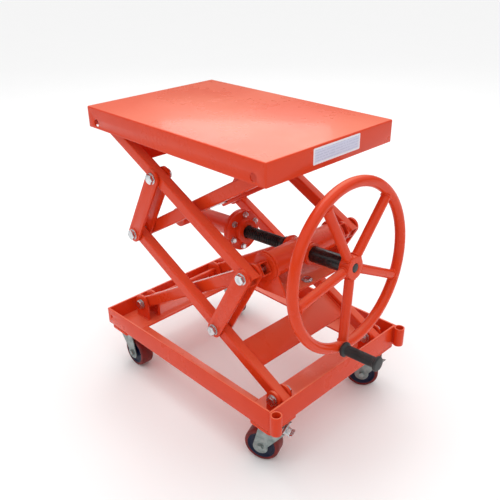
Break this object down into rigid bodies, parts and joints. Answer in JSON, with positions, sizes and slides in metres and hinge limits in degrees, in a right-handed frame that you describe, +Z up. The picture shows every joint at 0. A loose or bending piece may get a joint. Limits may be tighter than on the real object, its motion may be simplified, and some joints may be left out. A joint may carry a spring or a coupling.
{
  "type": "screw-driven scissor lift table",
  "caption": "Small mobile lift table: a handwheel and screw fold a linked double scissor between a flat table top and a castored base frame.",
  "frame": {"origin": "on the floor, under the middle of the whole part's bounding box", "axes": "+X from the rear towards the handwheel and grip, +Y to the left, +Z up"},
  "size_m": [0.7778, 0.4824, 0.7121],
  "materials": {
    "orange_paint": "glossy orange-red enamel on fabricated steel",
    "zinc_steel": "bright zinc plate",
    "black_steel": "blackened and lightly oiled steel",
    "black_rubber": "satin moulded grip",
    "castor_tyre": "polyurethane tread on a dark moulded core"
  },
  "bodies": {
    "base_frame": {"base_front_member": "orange_paint", "base_rear_member": "orange_paint", "base_side_member_left": "orange_paint", "base_side_member_right": "orange_paint", "handle_socket_left": "orange_paint", "handle_socket_right": "orange_paint", "castor_plate_front_right": "orange_paint", "castor_plate_front_left": "orange_paint", "castor_plate_rear_right": "orange_paint", "castor_plate_rear_left": "orange_paint", "base_front_pin_left": "zinc_steel", "base_front_pin_right": "zinc_steel", "base_rear_pivot_rod": "zinc_steel"},
    "lower_outer_arms": {"lower_outer_arm_left": "orange_paint", "lower_outer_arm_right": "orange_paint", "lower_arm_cross_plate": "orange_paint", "rear_cross_shaft": "zinc_steel", "lower_strap_bolt_left": "zinc_steel", "lower_strap_bolt_right": "zinc_steel"},
    "lower_inner_arms": {"lower_inner_arm_left": "orange_paint", "lower_inner_arm_right": "orange_paint", "cross_tube_pin_left": "zinc_steel", "cross_tube_pin_right": "zinc_steel"},
    "upper_inner_arms": {"upper_inner_arm_left": "orange_paint", "upper_inner_arm_right": "orange_paint"},
    "upper_outer_arms": {"upper_outer_arm_left": "orange_paint", "upper_outer_arm_right": "orange_paint", "upper_arm_cross_plate": "orange_paint", "upper_strap_bolt_left": "zinc_steel", "upper_strap_bolt_right": "zinc_steel"},
    "lower_straps": {"lower_strap_inner_left": "orange_paint", "lower_strap_inner_right": "orange_paint", "lower_strap_outer_left": "orange_paint", "lower_strap_outer_right": "orange_paint"},
    "upper_straps": {"upper_strap_inner_left": "orange_paint", "upper_strap_inner_right": "orange_paint", "upper_strap_outer_left": "orange_paint", "upper_strap_outer_right": "orange_paint"},
    "cross_tube": {"front_cross_tube": "orange_paint", "cross_tube_bracket": "orange_paint"},
    "nut_assembly": {"nut_carrier": "orange_paint", "screw_nut": "orange_paint"},
    "screw_and_wheel": {"lead_screw": "black_steel", "screw_sleeve": "black_steel", "handwheel": "orange_paint"},
    "grip": {"crank_grip": "black_rubber"},
    "table": {"table_top": "orange_paint", "table_front_pivot_rail": "orange_paint", "table_rear_pivot_rail": "orange_paint", "table_front_pivot_rod": "zinc_steel", "table_rear_pivot_rod": "zinc_steel"},
    "castor_fork_front_right_body": {"castor_fork_front_right": "zinc_steel"},
    "castor_wheel_front_right_body": {"castor_wheel_front_right": "castor_tyre"},
    "castor_fork_front_left_body": {"castor_fork_front_left": "zinc_steel"},
    "castor_wheel_front_left_body": {"castor_wheel_front_left": "castor_tyre"},
    "castor_fork_rear_right_body": {"castor_fork_rear_right": "zinc_steel"},
    "castor_wheel_rear_right_body": {"castor_wheel_rear_right": "castor_tyre"},
    "castor_fork_rear_left_body": {"castor_fork_rear_left": "zinc_steel"},
    "castor_wheel_rear_left_body": {"castor_wheel_rear_left": "castor_tyre"},
    "brake_pedal_front_right_body": {"brake_pedal_front_right": "zinc_steel"}
  },
  "joints": [
    {"name": "lift", "type": "hinge", "parent": "base_frame", "child": "lower_outer_arms", "pos_m": [0.22209, 0, 0.167], "axis": [0, 1, 0], "range_deg": [-18.1, 2.9]},
    {"name": "lower_inner_swing", "type": "hinge", "parent": "base_frame", "child": "lower_inner_arms", "pos_m": [-0.30991, 0, 0.167], "axis": [0, 1, 0], "range_deg": [-2.81, 17.56]},
    {"name": "upper_inner_swing", "type": "hinge", "parent": "lower_outer_arms", "child": "upper_inner_arms", "pos_m": [-0.26118, 0, 0.40795], "axis": [0, 1, 0], "range_deg": [-5.71, 35.66]},
    {"name": "upper_outer_swing", "type": "hinge", "parent": "lower_inner_arms", "child": "upper_outer_arms", "pos_m": [0.12979, 0, 0.43511], "axis": [0, 1, 0], "range_deg": [-35.66, 5.71]},
    {"name": "table_level", "type": "hinge", "parent": "upper_inner_arms", "child": "table", "pos_m": [0.17853, 0, 0.67606], "axis": [0, 1, 0], "range_deg": [-17.56, 2.81]},
    {"name": "lower_strap_swing", "type": "hinge", "parent": "lower_outer_arms", "child": "lower_straps", "pos_m": [0.03236, 0, 0.26159], "axis": [0, 1, 0], "range_deg": [-8.38, 52.31]},
    {"name": "upper_strap_swing", "type": "hinge", "parent": "upper_outer_arms", "child": "upper_straps", "pos_m": [-0.16375, 0, 0.58146], "axis": [0, 1, 0], "range_deg": [-8.38, 52.31]},
    {"name": "cross_tube_tilt", "type": "hinge", "parent": "lower_inner_arms", "child": "cross_tube", "pos_m": [0.12979, 0, 0.43511], "axis": [0, 1, 0], "range_deg": [-18.64, 2.99]},
    {"name": "nut_carrier_tilt", "type": "hinge", "parent": "lower_outer_arms", "child": "nut_assembly", "pos_m": [-0.26118, 0, 0.40795], "axis": [0, 1, 0], "range_deg": [-2.73, 17.01]},
    {"name": "handwheel_turn", "type": "hinge", "parent": "cross_tube", "child": "screw_and_wheel", "pos_m": [0.12979, 0, 0.43511], "axis": [-0.9976, 0, -0.0693], "range_deg": [-7145, 1110]},
    {"name": "grip_spin", "type": "hinge", "parent": "screw_and_wheel", "child": "grip", "pos_m": [0.31188, -0.04162, 0.26707], "axis": [0.9976, 0, 0.0693], "continuous": true},
    {"name": "castor_swivel_front_right", "type": "hinge", "parent": "base_frame", "child": "castor_fork_front_right_body", "pos_m": [0.22269, -0.1875, 0.102], "axis": [0, 0, 1], "continuous": true},
    {"name": "castor_roll_front_right", "type": "hinge", "parent": "castor_fork_front_right_body", "child": "castor_wheel_front_right_body", "pos_m": [0.20229, -0.19574, 0.042], "axis": [-0.3746, 0.9272, 0], "continuous": true},
    {"name": "castor_swivel_front_left", "type": "hinge", "parent": "base_frame", "child": "castor_fork_front_left_body", "pos_m": [0.22269, 0.1875, 0.102], "axis": [0, 0, 1], "continuous": true},
    {"name": "castor_roll_front_left", "type": "hinge", "parent": "castor_fork_front_left_body", "child": "castor_wheel_front_left_body", "pos_m": [0.20383, 0.17617, 0.042], "axis": [-0.515, 0.8572, 0], "continuous": true},
    {"name": "castor_swivel_rear_right", "type": "hinge", "parent": "base_frame", "child": "castor_fork_rear_right_body", "pos_m": [-0.31331, -0.1875, 0.102], "axis": [0, 0, 1], "continuous": true},
    {"name": "castor_roll_rear_right", "type": "hinge", "parent": "castor_fork_rear_right_body", "child": "castor_wheel_rear_right_body", "pos_m": [-0.29133, -0.18827, 0.042], "axis": [-0.0349, -0.9994, 0], "continuous": true},
    {"name": "castor_swivel_rear_left", "type": "hinge", "parent": "base_frame", "child": "castor_fork_rear_left_body", "pos_m": [-0.31331, 0.1875, 0.102], "axis": [0, 0, 1], "continuous": true},
    {"name": "castor_roll_rear_left", "type": "hinge", "parent": "castor_fork_rear_left_body", "child": "castor_wheel_rear_left_body", "pos_m": [-0.29217, 0.18144, 0.042], "axis": [-0.2756, -0.9613, 0], "continuous": true},
    {"name": "brake_press_front_right", "type": "hinge", "parent": "castor_fork_front_right_body", "child": "brake_pedal_front_right_body", "pos_m": [0.2505, -0.17626, 0.095], "axis": [-0.3746, 0.9272, 0], "range_deg": [0, 14]}
  ],
  "couplings": [
    {"joint": "lift", "follows": "handwheel_turn", "ratio": 0.0025176},
    {"joint": "lower_inner_swing", "follows": "handwheel_turn", "ratio": -0.0024421},
    {"joint": "upper_inner_swing", "follows": "handwheel_turn", "ratio": -0.0049597},
    {"joint": "upper_outer_swing", "follows": "handwheel_turn", "ratio": 0.0049597},
    {"joint": "table_level", "follows": "handwheel_turn", "ratio": 0.0024421},
    {"joint": "lower_strap_swing", "follows": "handwheel_turn", "ratio": -0.0072759},
    {"joint": "upper_strap_swing", "follows": "handwheel_turn", "ratio": -0.0072759},
    {"joint": "cross_tube_tilt", "follows": "handwheel_turn", "ratio": 0.0025931},
    {"joint": "nut_carrier_tilt", "follows": "handwheel_turn", "ratio": -0.0023666}
  ]
}
